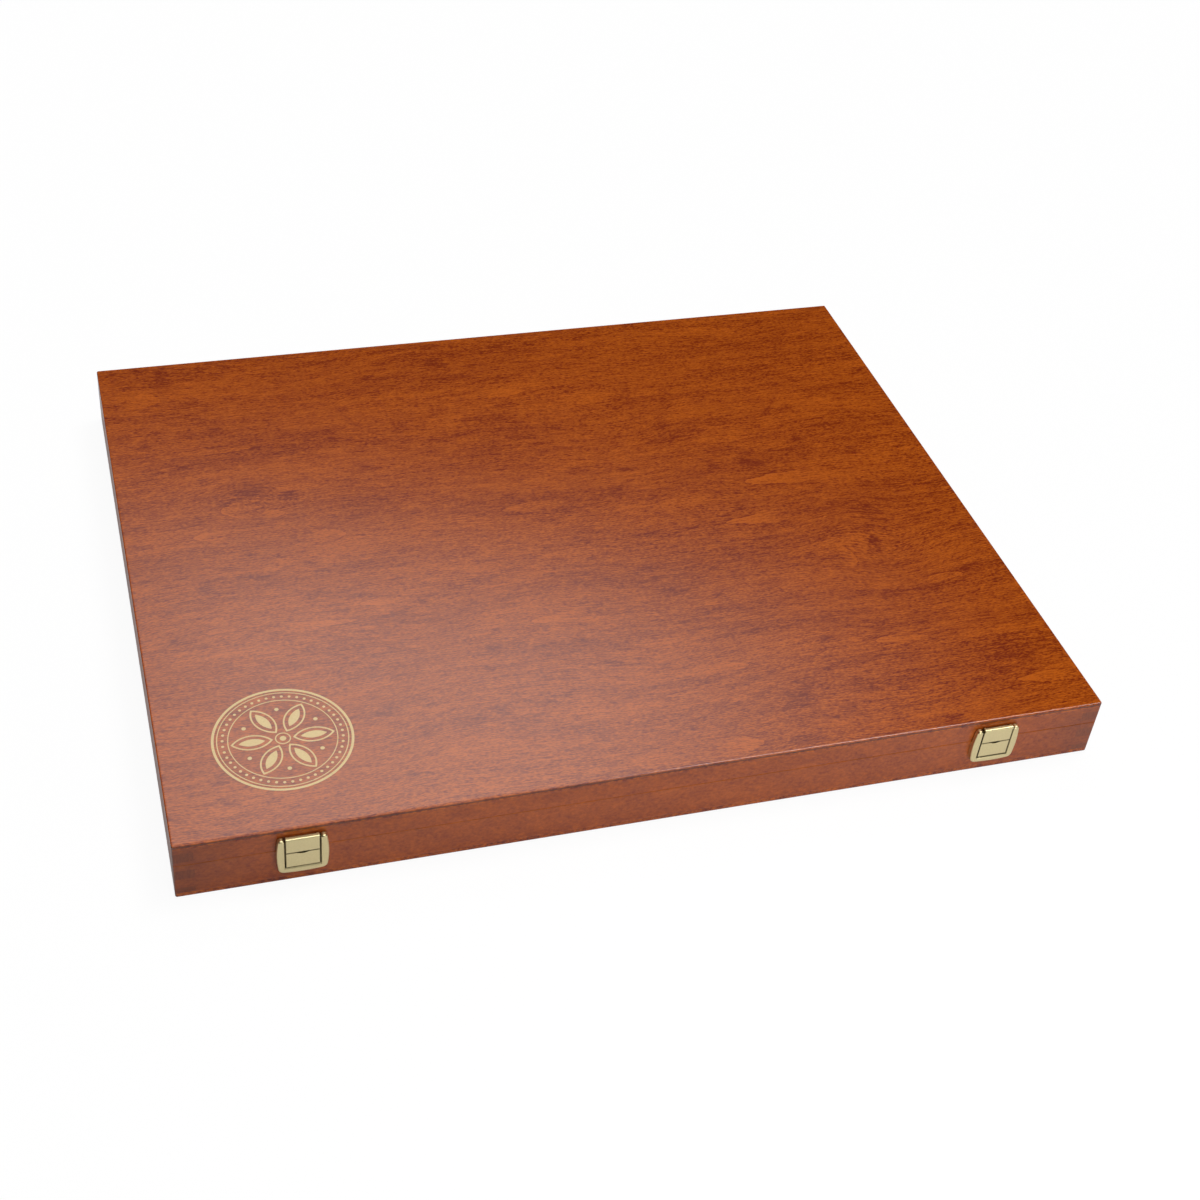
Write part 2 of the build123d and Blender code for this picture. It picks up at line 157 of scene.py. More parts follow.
def make_veneer_group():
    """Stained wood: soft bands, blotches, flames of the figure, streaks, fibres, specks and pale hairs.

    Position is in metres with X along the grain. Tone runs from 0, the lightest wood, to 1, the darkest."""
    inputs = [
        ("Position", VECTOR, None),
        ("Light", COLOUR, (0.42, 0.11, 0.02, 1)),
        ("Dark", COLOUR, (0.15, 0.03, 0.008, 1)),
        ("Bands", FLOAT, 0.2),
        ("Blotches", FLOAT, 0.2),
        ("Flames", FLOAT, 0.2),
        ("Streaks", FLOAT, 0.2),
        ("Fibres", FLOAT, 0.2),
        ("Specks", FLOAT, 0.2),
        ("Hairs", FLOAT, 0.1),
        ("Figure", FLOAT, 0.0),
    ]
    outputs = [("Colour", COLOUR), ("Tone", FLOAT), ("Height", FLOAT)]
    tree, given, out = new_group("stained veneer", inputs, outputs)
    position = given["Position"]

    # The grain wanders a few millimetres to the side over a hand's length
    wander = cloud_noise(tree, stretched(tree, position, (130, 70, 110)), detail=1.0)
    drift = maths(tree, "MULTIPLY", maths(tree, "SUBTRACT", wander, 0.5), 22 * MM)
    grain = combine(tree, "ADD", position, sideways_only(tree, drift))

    # Soft bands along the grain, and darker blotches where more stain went in
    bands = cloud_noise(tree, stretched(tree, grain, (120, 15, 60)), 2.0, 0.55, 0.2)
    blotches = cloud_noise(tree, stretched(tree, grain, (17, 8, 15), (3.1, 7.7, 1.3)), 3.0, 0.6, 0.4)
    blotches = remap(tree, blotches, 0.56, 0.76)

    # Flames: level lines of a slow field, crisp on one side and fading on the other, in patches
    field = cloud_noise(tree, stretched(tree, grain, (95, 13, 60), (9.2, 4.4, 2.5)), 1.0, 0.4, 0.35)
    rings = maths(tree, "FRACT", maths(tree, "MULTIPLY", field, 8.0))
    crisp = maths(tree, "POWER", rings, 4.0)
    patch = cloud_noise(tree, stretched(tree, grain, (52, 14, 40), (5.5, 1.2, 8.1)), 1.0)
    flames = maths(tree, "MULTIPLY", crisp, remap(tree, patch, 0.5, 0.68))

    # Streaks at every scale from finger wide down, fibres a few millimetres long, and specks
    streaks = cloud_noise(tree, stretched(tree, grain, (30, 3.0, 24)), 3.0, 0.66)
    fibres = cloud_noise(tree, stretched(tree, grain, (11, 0.9, 9.0), (1.7, 0.3, 6.1)), 2.0, 0.8)
    specks = cloud_noise(tree, stretched(tree, grain, (2.2, 0.6, 1.6), (4.0, 9.1, 0.7)), 1.0, 0.8)
    hairs = cloud_noise(tree, stretched(tree, grain, (9.0, 0.7, 7.0), (2.2, 6.3, 3.9)), 1.0, 0.6)
    hair_patch = cloud_noise(tree, stretched(tree, grain, (30, 12, 25), (8.8, 2.9, 5.1)), 1.0)
    hairs = maths(tree, "MULTIPLY", remap(tree, hairs, 0.58, 0.74), remap(tree, hair_patch, 0.42, 0.62))

    tone = maths(tree, "ADD", 0.5, given["Figure"])
    for share, amount in (
        (maths(tree, "SUBTRACT", bands, 0.5), "Bands"),
        (blotches, "Blotches"),
        (maths(tree, "SUBTRACT", 0.0, flames), "Flames"),
        (maths(tree, "SUBTRACT", streaks, 0.5), "Streaks"),
        (maths(tree, "SUBTRACT", fibres, 0.5), "Fibres"),
        (maths(tree, "SUBTRACT", specks, 0.5), "Specks"),
        (maths(tree, "SUBTRACT", 0.0, hairs), "Hairs"),
    ):
        tone = maths(tree, "ADD", tone, maths(tree, "MULTIPLY", share, given[amount]))
    tone = maths(tree, "ADD", tone, 0.0, clamp=True)
    tree.links.new(mix_colour(tree, tone, given["Light"], given["Dark"]), out["Colour"])
    tree.links.new(tone, out["Tone"])
    tree.links.new(maths(tree, "ADD", fibres, specks), out["Height"])
    return tree


def make_tongue_group():
    """A pale tongue of figure: a crisp nose with a bright rim and a dark outline, fading along the grain.

    Length is negative for a nose that points to the right. Ragged is noise about 0 for the outline."""
    inputs = [
        ("Position", VECTOR, None),
        ("Ragged", FLOAT, 0.0),
        ("Nose", VECTOR, None),
        ("Length", FLOAT, 0.03),
        ("Half Width", FLOAT, 0.003),
    ]
    tree, given, out = new_group("pale tongue", inputs, [("Paleness", FLOAT)])
    parts = split(tree, combine(tree, "SUBTRACT", given["Position"], given["Nose"]))
    along = maths(tree, "DIVIDE", parts["X"], given["Length"])
    across = maths(tree, "DIVIDE", parts["Y"], given["Half Width"])
    across = maths(tree, "ABSOLUTE", maths(tree, "ADD", across, given["Ragged"]))
    # The outline opens from the nose like a root curve, and depth is how far inside it a point lies
    nose = maths(tree, "POWER", maths(tree, "MAXIMUM", maths(tree, "MULTIPLY", along, 2.4), 0.0), 0.5)
    ahead = maths(tree, "MINIMUM", maths(tree, "MULTIPLY", along, 12.0), 0.0)
    width = maths(tree, "ADD", maths(tree, "MINIMUM", nose, 1.0), ahead)
    depth = maths(tree, "SUBTRACT", width, across)
    near_nose = remap(tree, along, 0.05, 0.6, 1.0, 0.0)
    inside = maths(tree, "MULTIPLY", remap(tree, depth, 0.0, 0.14), remap(tree, along, 0.2, 1.0, 1.0, 0.0))
    rim = maths(tree, "MULTIPLY", remap(tree, depth, 0.0, 0.12), remap(tree, depth, 0.14, 0.42, 1.0, 0.0))
    outer, inner = remap(tree, depth, -0.4, -0.04), remap(tree, depth, -0.04, 0.06, 1.0, 0.0)
    outline = maths(tree, "MULTIPLY", outer, inner)
    edge = maths(tree, "SUBTRACT", maths(tree, "MULTIPLY", rim, 0.6), maths(tree, "MULTIPLY", outline, 0.7))
    edge = maths(tree, "MULTIPLY", edge, near_nose)
    tree.links.new(maths(tree, "ADD", maths(tree, "MULTIPLY", inside, 0.8), edge), out["Paleness"])
    return tree


def make_grain_eye_group():
    """The grain's sideways swell round a small knot."""
    inputs = [("Position", VECTOR, None), ("Centre", VECTOR, None), ("Reach", VECTOR, (0.03, 0.02, 1.0))]
    tree, given, out = new_group("grain eye", inputs, [("Shift", FLOAT)])
    offset = combine(tree, "SUBTRACT", given["Position"], given["Centre"])
    scaled = combine(tree, "DIVIDE", offset, given["Reach"])
    square = measure(tree, "DOT_PRODUCT", scaled, scaled)
    swell = maths(tree, "EXPONENT", maths(tree, "MULTIPLY", square, -1.0))
    parts = split(tree, offset)
    pull = maths(tree, "MULTIPLY", maths(tree, "MULTIPLY", parts["Y"], swell), -0.5)
    twist = maths(tree, "MULTIPLY", maths(tree, "MULTIPLY", parts["X"], swell), 0.22)
    tree.links.new(maths(tree, "ADD", pull, twist), out["Shift"])
    return tree


def make_smudge_group():
    """A soft smudge round a centre, its outline roughened by noise about 0."""
    inputs = [
        ("Position", VECTOR, None),
        ("Ragged", FLOAT, 0.0),
        ("Centre", VECTOR, None),
        ("Reach", VECTOR, (0.01, 0.005, 1.0)),
    ]
    tree, given, out = new_group("smudge", inputs, [("Mask", FLOAT)])
    offset = combine(tree, "SUBTRACT", given["Position"], given["Centre"])
    away = measure(tree, "LENGTH", combine(tree, "DIVIDE", offset, given["Reach"]))
    tree.links.new(remap(tree, maths(tree, "ADD", away, given["Ragged"]), 0.25, 1.3, 1.0, 0.0), out["Mask"])
    return tree


def make_eased_edge_group():
    """The height of a panel's face towards its edges, which flattens the round of its rim.

    Slope is how steeply the relief rises at the very edge."""
    inputs = [
        ("Position", VECTOR, None),
        ("Half Size", VECTOR, None),
        ("Width", FLOAT, 1 * MM),
        ("Slope", FLOAT, 1.0),
    ]
    tree, given, out = new_group("eased edge", inputs, [("Height", FLOAT)])
    past = combine(tree, "SUBTRACT", combine(tree, "ABSOLUTE", given["Position"]), given["Half Size"])
    parts = split(tree, past)
    reach = maths(tree, "ADD", maths(tree, "MAXIMUM", parts["X"], parts["Y"]), given["Width"])
    reach = maths(tree, "MAXIMUM", reach, 0.0)
    rise = maths(tree, "DIVIDE", maths(tree, "MULTIPLY", reach, reach), given["Width"])
    rise = maths(tree, "MULTIPLY", rise, given["Slope"])
    tree.links.new(maths(tree, "MULTIPLY", rise, 0.5), out["Height"])
    return tree


def make_joint_line_group():
    """A soft line at one height: a dark joint where stain and glue fill it, or painted light along the
    seam.
    """
    inputs = [("Position", VECTOR, None), ("Height", FLOAT, 0.0), ("Half Width", FLOAT, 0.3 * MM)]
    tree, given, out = new_group("joint line", inputs, [("Mask", FLOAT)])
    above = maths(tree, "SUBTRACT", split(tree, given["Position"])["Z"], given["Height"])
    away = maths(tree, "ABSOLUTE", above)
    inside = maths(tree, "DIVIDE", away, given["Half Width"])
    tree.links.new(remap(tree, inside, 0.3, 1.0, 1.0, 0.0), out["Mask"])
    return tree


veneer_group = make_veneer_group()
tongue_group = make_tongue_group()
grain_eye_group = make_grain_eye_group()
smudge_group = make_smudge_group()
eased_edge_group = make_eased_edge_group()
joint_line_group = make_joint_line_group()


def new_material(name, **shader_values):
    """A material with a Principled shader, its tree and the object's own coordinates."""
    material = bpy.data.materials.new(name)
    material.use_nodes = True
    tree = material.node_tree
    shader = tree.nodes["Principled BSDF"]
    for label, value in shader_values.items():
        shader.inputs[label.replace("_", " ")].default_value = value
    position = add_node(tree, "ShaderNodeTexCoord").outputs["Object"]
    return material, tree, shader, position


def bump(tree, shader, height, distance, strength, normal=None):
    """Fine relief under the finish, over another relief's normal where one is given."""
    inputs = {"Height": height, "Distance": distance, "Strength": strength}
    if normal is not None:
        inputs["Normal"] = normal
    tree.links.new(add_node(tree, "ShaderNodeBump", inputs).outputs[0], shader.inputs["Normal"])


def turned(tree, position, degrees):
    """The coordinates turned, so that X runs along the grain of a piece."""
    inputs = {"Vector": position, "Rotation": tuple(math.radians(d) for d in degrees)}
    return add_node(tree, "ShaderNodeMapping", inputs).outputs[0]


# Knots in the lid's veneer in millimetres, as centre and reach
knots = (
    ((172, -46), (26, 30)),
    ((-165, 50), (26, 17)),
)
# Pale tongues as nose, length, half width and paleness
pale_tongues = (
    ((94, -16), 52, 4.5, 0.34),
    ((140, -127), 40, 4.5, 0.26),
    ((66, -131), -34, 4.0, 0.24),
    ((212, -83), -36, 3.5, 0.24),
    ((203, -170), 42, 4.5, 0.26),
    ((54, -186), -34, 5.5, 0.24),
    ((-124, -46), 34, 3.5, 0.22),
    ((-127, -58), -56, 3.0, 0.22),
    ((-38, -77), 44, 4.5, 0.24),
    ((118, 18), 62, 6.0, 0.30),
    ((136, 61), -34, 3.0, 0.22),
    ((14, 131), -34, 4.0, 0.22),
    ((-120, 14), -30, 5.5, 0.20),
    ((-30, 18), 44, 4.5, 0.26),
    ((-185, 44), 20, 5.0, 0.24),
    ((-150, 42), -17, 4.0, 0.22),
    ((-203, 24), 26, 5.0, 0.22),
    ((-160, 101), -66, 2.6, 0.18),
    ((-206, 158), -26, 9.0, 0.18),
    ((157, -57), -12, 9.0, 0.18),
)
# Darker smudges of stain as centre, reach and darkness
smudges = (
    ((173, -47), (3.5, 9), 0.55),
    ((181, -24), (7, 12), 0.25),
    ((-203, 179), (5, 12), 0.42),
    ((-167, 62), (8, 9), 0.35),
    ((-147, 52), (8, 5), 0.30),
    ((-35, 169), (10, 6), 0.30),
    ((-17, 107), (18, 6), 0.25),
    ((127, 35), (11, 6), 0.30),
    ((45, -67), (12, 5), 0.30),
    ((82, -160), (12, 8), 0.30),
    ((208, -150), (15, 10), 0.25),
)
tongue_strength = 1.6
smudge_strength = 0.95

# Colours of the wood
stain_light = (0.50, 0.104, 0.0050, 1)
stain_dark = (0.175, 0.0168, 0.0003, 1)
# End grain colour, also used for painted shade towards the rails' ends
end_grain_stain_and_shade = (0.10, 0.018, 0.004, 1)
glue_line_stain = (0.05, 0.012, 0.004, 1)
# A paler colour painted along the seam's edges as painted light
seam_painted_light = (0.75, 0.26, 0.05, 1)
bare_wood_light = (0.74, 0.54, 0.34, 1)
bare_wood_dark = (0.56, 0.38, 0.22, 1)

# Heights and widths of lines on the wood
glue_line_height = case_high.z - 1.6 * MM
glue_line_half_width = 0.8 * MM
chip_from_middle = 67 * MM
chip_reach = (1.9 * MM, 1.0 * MM, 0.7 * MM)
seam_half_width = 0.5 * MM
# How far from each end the end grain darkening and its painted shade reach
end_grain_and_shade_length = 45 * MM


def make_panel_veneer():
    """The lid's and the bottom's stained veneer under a satin lacquer."""
    material, tree, shader, position = new_material("stained_veneer", Roughness=0.135)
    grain = position
    for (x, y), reach in knots:
        eye = place_group(
            tree,
            grain_eye_group,
            Position=grain,
            Centre=(x * MM, y * MM, 0),
            Reach=(reach[0] * MM, reach[1] * MM, 1.0),
        )
        grain = combine(tree, "ADD", grain, sideways_only(tree, eye["Shift"]))
    ragged = cloud_noise(tree, stretched(tree, grain, (12, 3.0, 10)), 3.0, 0.6)
    ragged = maths(tree, "MULTIPLY", maths(tree, "SUBTRACT", ragged, 0.5), 1.1)
    figure = 0.0
    for (x, y), length, half_width, paleness in pale_tongues:
        tongue = place_group(
            tree,
            tongue_group,
            Position=grain,
            Ragged=ragged,
            Nose=(x * MM, y * MM, 0),
            Length=length * MM,
            Half_Width=half_width * MM,
        )
        paler = maths(tree, "MULTIPLY", tongue["Paleness"], paleness * tongue_strength)
        figure = maths(tree, "SUBTRACT", figure, paler)
    for (x, y), reach, darkness in smudges:
        smudge = place_group(
            tree,
            smudge_group,
            Position=position,
            Ragged=maths(tree, "MULTIPLY", ragged, 2.0),
            Centre=(x * MM, y * MM, case_high.z),
            Reach=(reach[0] * MM, reach[1] * MM, 1.0),
        )
        darker = maths(tree, "MULTIPLY", smudge["Mask"], darkness * smudge_strength)
        figure = maths(tree, "ADD", figure, darker)
    wood = place_group(
        tree,
        veneer_group,
        Position=grain,
        Light=stain_light,
        Dark=stain_dark,
        Bands=0.75,
        Blotches=0.35,
        Flames=0.25,
        Streaks=1.0,
        Fibres=1.9,
        Specks=2.2,
        Hairs=0.35,
        Figure=figure,
    )
    # The glue line of the panel's edge, and a chip in it
    line = place_group(
        tree,
        joint_line_group,
        Position=position,
        Height=glue_line_height,
        Half_Width=glue_line_half_width,
    )
    chip = place_group(
        tree,
        smudge_group,
        Position=position,
        Centre=(chip_from_middle, case_low.y, glue_line_height),
        Reach=chip_reach,
    )
    marks = maths(tree, "MAXIMUM", maths(tree, "MULTIPLY", line["Mask"], 0.7), chip["Mask"])
    tree.links.new(mix_colour(tree, marks, wood["Colour"], glue_line_stain), shader.inputs["Base Color"])
    eased = place_group(
        tree,
        eased_edge_group,
        Position=position,
        Half_Size=(case_high.x, case_high.y, 1.0),
        Width=1.0 * MM,
        Slope=1.0,
    )
    rim = add_node(tree, "ShaderNodeBump", {"Height": eased["Height"], "Distance": 1.0}).outputs[0]
    bump(tree, shader, wood["Height"], 0.03 * MM, 0.3, rim)
    return material


def make_rail_wood(name, turn, axis, end):
    """Stained rail wood with a plainer grain than the veneer and darker end grain on its fingers.

    Axis is the way the rail runs, and end is how far it reaches from the middle of the case."""
    material, tree, shader, position = new_material(name, Roughness=0.3)
    wood = place_group(
        tree,
        veneer_group,
        Position=turned(tree, position, turn),
        Light=stain_light,
        Dark=stain_dark,
        Bands=0.4,
        Blotches=0.05,
        Flames=0.05,
        Streaks=0.45,
        Fibres=0.6,
        Specks=1.1,
    )
    facing = split(tree, add_node(tree, "ShaderNodeTexCoord").outputs["Normal"])
    end_grain = remap(tree, maths(tree, "ABSOLUTE", facing[axis]), 0.6, 0.9, 0.0, 0.4)
    colour = mix_colour(tree, end_grain, wood["Colour"], end_grain_stain_and_shade)
    # The rails darken towards their ends, partly end grain that took more stain and partly painted shade
    # where the light falls off, and the eased edges at the seam get a paler colour, a painted light over
    # the shade along the seam
    reach = maths(tree, "ABSOLUTE", split(tree, position)[axis])
    end_stain_and_shade = remap(tree, reach, end - end_grain_and_shade_length, end, 0.0, 0.3)
    colour = mix_colour(tree, end_stain_and_shade, colour, end_grain_stain_and_shade)
    seam = place_group(
        tree,
        joint_line_group,
        Position=position,
        Height=seam_height,
        Half_Width=seam_half_width,
    )
    # Painted light: a paler colour on the seam's edges offsets the shade that falls along the seam
    seam_light_share = remap(tree, maths(tree, "ABSOLUTE", facing["Z"]), 0.75, 0.95, 0.18, 0.0)
    colour = mix_colour(tree, maths(tree, "MULTIPLY", seam["Mask"], seam_light_share), colour, seam_painted_light)
    tree.links.new(colour, shader.inputs["Base Color"])
    bump(tree, shader, wood["Height"], 0.03 * MM, 0.3)
    return material


def make_divider_wood():
    """Pale unstained, unlacquered wood of the thin dividers."""
    material, tree, shader, position = new_material(
        "pale_divider_wood", Roughness=0.7, Specular_IOR_Level=0.3
    )
    wood = place_group(
        tree,
        veneer_group,
        Position=turned(tree, position, (90, 0, 0)),
        Light=bare_wood_light,
        Dark=bare_wood_dark,
        Bands=0.6,
        Blotches=0.1,
        Streaks=0.8,
        Fibres=1.0,
        Specks=0.5,
    )
    tree.links.new(wood["Colour"], shader.inputs["Base Color"])
    bump(tree, shader, wood["Height"], 0.04 * MM, 0.4)
    return material


# The colour of painted shade in the gaps round a latch's plates
gap_shade_colour = (0.07, 0.05, 0.02, 1)


def latch_gap_shade(tree, position):
    """Where painted shade darkens the gaps round the two plates of a latch."""
    side_gap, sill_gap, slit_gap = 0.2 * MM, 0.15 * MM, 0.2 * MM
    plate_low, plate_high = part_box("right_catch_tongue")
    plate_middle = (plate_low.x + plate_high.x) / 2
    half_window = (plate_high.x - plate_low.x) / 2 + side_gap
    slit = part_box("right_hasp")[0].z - slit_gap
    parts = split(tree, position)
    # Distances outward past the plates' sides and sill, then from the slit between the plates
    from_middle = maths(tree, "SUBTRACT", maths(tree, "ABSOLUTE", parts["X"]), plate_middle)
    past_side = maths(tree, "SUBTRACT", maths(tree, "ABSOLUTE", from_middle), half_window)
    past_sill = maths(tree, "SUBTRACT", plate_low.z - sill_gap, parts["Z"])
    from_rim = maths(tree, "ABSOLUTE", maths(tree, "MAXIMUM", past_side, past_sill))
    from_slit = maths(tree, "ABSOLUTE", maths(tree, "SUBTRACT", parts["Z"], slit))
    from_slit = maths(tree, "ADD", from_slit, maths(tree, "GREATER_THAN", past_side, 0.0))
    nearest = maths(tree, "MINIMUM", from_rim, from_slit)
    # Painted shade, darkest right at the gaps
    return remap(tree, nearest, 0.2 * MM, 0.7 * MM, 0.75, 0.0)


def make_brass(name, colour, roughness, gap_shade_function=None):
    """Satin brass with a faint brushed variation, and painted shade where a function puts it."""
    material, tree, shader, position = new_material(name, Metallic=1.0)
    grain = cloud_noise(tree, stretched(tree, position, (0.9, 0.9, 0.9)), 3.0, 0.6)
    satin = remap(tree, grain, 0.3, 0.7, roughness - 0.05, roughness + 0.07)
    tree.links.new(satin, shader.inputs["Roughness"])
    darker = tuple(c * 0.88 for c in colour[:3]) + (1,)
    brass = mix_colour(tree, grain, colour, darker)
    if gap_shade_function is not None:
        # Painted shade darkens the brass where the function puts it
        brass = mix_colour(tree, gap_shade_function(tree, position), brass, gap_shade_colour)
    tree.links.new(brass, shader.inputs["Base Color"])
    relief = cloud_noise(tree, stretched(tree, position, (0.25, 0.25, 0.25)), 2.0)
    bump(tree, shader, relief, 0.01 * MM, 0.4)
    return material


def make_foam():
    """Charcoal foam with open cells, their pits painted darker as shade."""
    material, tree, shader, position = new_material("charcoal_foam", Roughness=0.95, IOR=1.3)
    inputs = {"Vector": stretched(tree, position, (0.8, 0.8, 0.8)), "Scale": 1.0}
    cells = add_node(tree, "ShaderNodeTexVoronoi", inputs).outputs["Distance"]
    tint = cloud_noise(tree, stretched(tree, position, (25, 25, 25)), 2.0)
    pale = mix_colour(tree, tint, (0.040, 0.040, 0.043, 1), (0.060, 0.060, 0.063, 1))
    # The cells' pits are painted near black, a painted shade in the open pores
    colour = mix_colour(tree, remap(tree, cells, 0.1, 0.7), (0.010, 0.010, 0.011, 1), pale)
    tree.links.new(colour, shader.inputs["Base Color"])
    bump(tree, shader, cells, 0.3 * MM, 0.8)
    return material


def make_print_gold():
    """The pale gold ink of the lid's ornament, a little thin in places."""
    material, tree, shader, position = new_material("pale_gold_ink", Roughness=0.135)
    wear = cloud_noise(tree, stretched(tree, position, (1.4, 0.5, 1.0)), 4.0, 0.7)
    wear = remap(tree, wear, 0.35, 0.7)
    colour = mix_colour(tree, wear, (0.72, 0.53, 0.23, 1), (0.62, 0.44, 0.17, 1))
    tree.links.new(colour, shader.inputs["Base Color"])
    return material


def dress(material, *names):
    """Give CAD nodes a finish."""
    for name in names:
        mesh = nodes[name].data
        mesh.materials.clear()
        mesh.materials.append(material)


veneer = make_panel_veneer()
rail_along = make_rail_wood("rail_wood_along_front", (0, 0, 0), "X", case_high.x)
rail_across = make_rail_wood("rail_wood_along_side", (0, 0, 90), "Y", case_high.y)
latch_brass = make_brass("satin_pale_brass", (0.74, 0.63, 0.35, 1), 0.35, latch_gap_shade)
hinge_brass = make_brass("hinge_brass", (0.76, 0.62, 0.33, 1), 0.3)
fastener_brass = make_brass("brass_fasteners", (0.74, 0.58, 0.29, 1), 0.34)
wire_brass = make_brass("brass_wire", (0.80, 0.68, 0.40, 1), 0.22)
divider_wood = make_divider_wood()
foam = make_foam()
gold_ink = make_print_gold()

dress(veneer, "lid_top_panel", "base_bottom_panel")
for part in ("lid", "base"):
    dress(rail_along, f"{part}_front_rail", f"{part}_back_rail")
    dress(rail_across, f"{part}_left_rail", f"{part}_right_rail")
dress(divider_wood, *[name for name in nodes if name.startswith("lane_divider")])
for name in nodes:
    if "nails" in name or "screws" in name:
        dress(fastener_brass, name)
    elif "pin" in name:
        dress(wire_brass, name)
    elif "catch" in name or "hasp" in name:
        dress(latch_brass, name)
    elif "hinge" in name:
        dress(hinge_brass, name)


# Modelled pieces


def finished_piece(name, shape, material, body):
    """A finished bmesh as an object that rides on a body, smooth but for its sharp edges."""
    sharp = math.radians(40)
    bmesh.ops.recalc_face_normals(shape, faces=shape.faces)
    for face in shape.faces:
        face.smooth = True
    for edge in shape.edges:
        if len(edge.link_faces) == 2 and edge.calc_face_angle(0) > sharp:
            edge.smooth = False
    mesh = bpy.data.meshes.new(name)
    shape.to_mesh(mesh)
    shape.free()
    mesh.materials.append(material)
    piece = bpy.data.objects.new(name, mesh)
    bpy.context.scene.collection.objects.link(piece)
    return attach(piece, body)


def verts_in(geometry):
    """The verts in an operator's result."""
    return [item for item in geometry if isinstance(item, bmesh.types.BMVert)]


def round_edges(shape, edges, radius, segments):
    """Edges bevelled to a radius."""
    return bmesh.ops.bevel(
        shape,
        geom=edges,
        offset=radius,
        offset_type="OFFSET",
        affect="EDGES",
        segments=segments,
        profile=0.5,
        material=-1,
        clamp_overlap=True,
    )


def slacken(shape, low, high, depth, size):
    """Presses a foam piece's skin in by a soft uneven amount, so that it stays inside its block."""
    for vert in shape.verts:
        press = depth * (0.5 + 0.5 * noise.noise(vert.co / size))
        for axis in range(3):
            middle = (low[axis] + high[axis]) / 2
            half = (high[axis] - low[axis]) / 2
            vert.co[axis] -= press * (vert.co[axis] - middle) / half


def make_foam_bed(number):
    """A foam bed with a row of round grooves for the sticks, its crests and ends softly rounded."""
    groove_count = 40
    groove_radius = 5.4 * MM
    groove_depth = 3.6 * MM
    clearance = Vector((0.1, 0.1, 0)) * MM
    low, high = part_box(f"foam_bed_{number}")
    low, high = low + clearance, high - clearance
    pitch = (high.x - low.x) / groove_count
    half_angle = math.acos(1 - groove_depth / groove_radius)
    crest = pitch / 2 - groove_radius * math.sin(half_angle)
    shape = bmesh.new()

    # One groove's line: half a crest, the groove's arc and half a crest, then copies side by side
    start = bmesh.ops.create_vert(shape, co=(low.x, low.y, high.z))["vert"]
    lip = bmesh.ops.extrude_vert_indiv(shape, verts=start)["verts"]
    bmesh.ops.translate(shape, verts=lip, vec=(crest, 0, 0))
    centre = (low.x + pitch / 2, low.y, high.z - groove_depth + groove_radius)
    arc = bmesh.ops.spin(shape, geom=lip, cent=centre, axis=(0, -1, 0), angle=2 * half_angle, steps=12)
    end = bmesh.ops.extrude_vert_indiv(shape, verts=verts_in(arc["geom_last"]))["verts"]
    bmesh.ops.translate(shape, verts=end, vec=(crest, 0, 0))
    groove = shape.verts[:] + shape.edges[:]
    for count in range(1, groove_count):
        copy = bmesh.ops.duplicate(shape, geom=groove)["geom"]
        bmesh.ops.translate(shape, verts=verts_in(copy), vec=(count * pitch, 0, 0))
    bmesh.ops.remove_doubles(shape, verts=shape.verts, dist=0.01 * MM)

    # Down to the bed's underside, then along the lane
    wall = bmesh.ops.extrude_edge_only(shape, edges=shape.edges[:])["geom"]
    for vert in verts_in(wall):
        vert.co.z = low.z
    block = bmesh.ops.extrude_face_region(shape, geom=shape.faces[:])["geom"]
    bmesh.ops.translate(shape, verts=verts_in(block), vec=(0, high.y - low.y, 0))
    bmesh.ops.recalc_face_normals(shape, faces=shape.faces)
    top = high.z - groove_depth - 0.1 * MM
    lips = [
        edge
        for edge in shape.edges
        if min(vert.co.z for vert in edge.verts) > top and edge.calc_face_angle(0) > math.radians(25)
    ]
    round_edges(shape, lips, 0.4 * MM, 3)
    nearly_whole = 0.9 * (high.y - low.y)
    lengthwise = [
        edge for edge in shape.edges if abs(edge.verts[0].co.y - edge.verts[1].co.y) > nearly_whole
    ]
    bmesh.ops.subdivide_edges(shape, edges=lengthwise, cuts=7, use_grid_fill=True)
    slacken(shape, low, high, 0.12 * MM, 9 * MM)
    bed = finished_piece(f"foam_bed_{number}_grooved", shape, foam, "base")
    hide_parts(f"foam_bed_{number}")


def make_lid_pad():
    """The lid's foam pad, a flat sheet with soft rounded edges and a slightly uneven face."""
    low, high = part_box("lid_foam_pad")
    clearance = Vector((0.2, 0.2, 0)) * MM
    low, high = low + clearance, high - clearance
    shape = bmesh.new()
    bmesh.ops.create_cube(shape, size=1.0)
    bmesh.ops.scale(shape, verts=shape.verts, vec=high - low)
    bmesh.ops.translate(shape, verts=shape.verts, vec=(low + high) / 2)
    bmesh.ops.subdivide_edges(shape, edges=shape.edges[:], cuts=40, use_grid_fill=True)
    rims = [edge for edge in shape.edges if edge.calc_face_angle(0) > math.radians(60)]
    round_edges(shape, rims, 0.12 * MM, 1)
    slacken(shape, low, high, 0.25 * MM, 24 * MM)
    pad = finished_piece("lid_foam_sheet", shape, foam, "lid")
    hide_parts("lid_foam_pad")


for number in range(1, 6):
    make_foam_bed(number)
make_lid_pad()


def ring_band(shape, radius, width, steps=96):
    """A flat ring in the XY plane."""
    verts = []
    for edge_radius in (radius - width / 2, radius + width / 2):
        verts += bmesh.ops.create_circle(shape, cap_ends=False, radius=edge_radius, segments=steps)["verts"]
    edges = [edge for edge in shape.edges if edge.verts[0] in verts and not edge.link_faces]
    bmesh.ops.bridge_loops(shape, edges=edges)


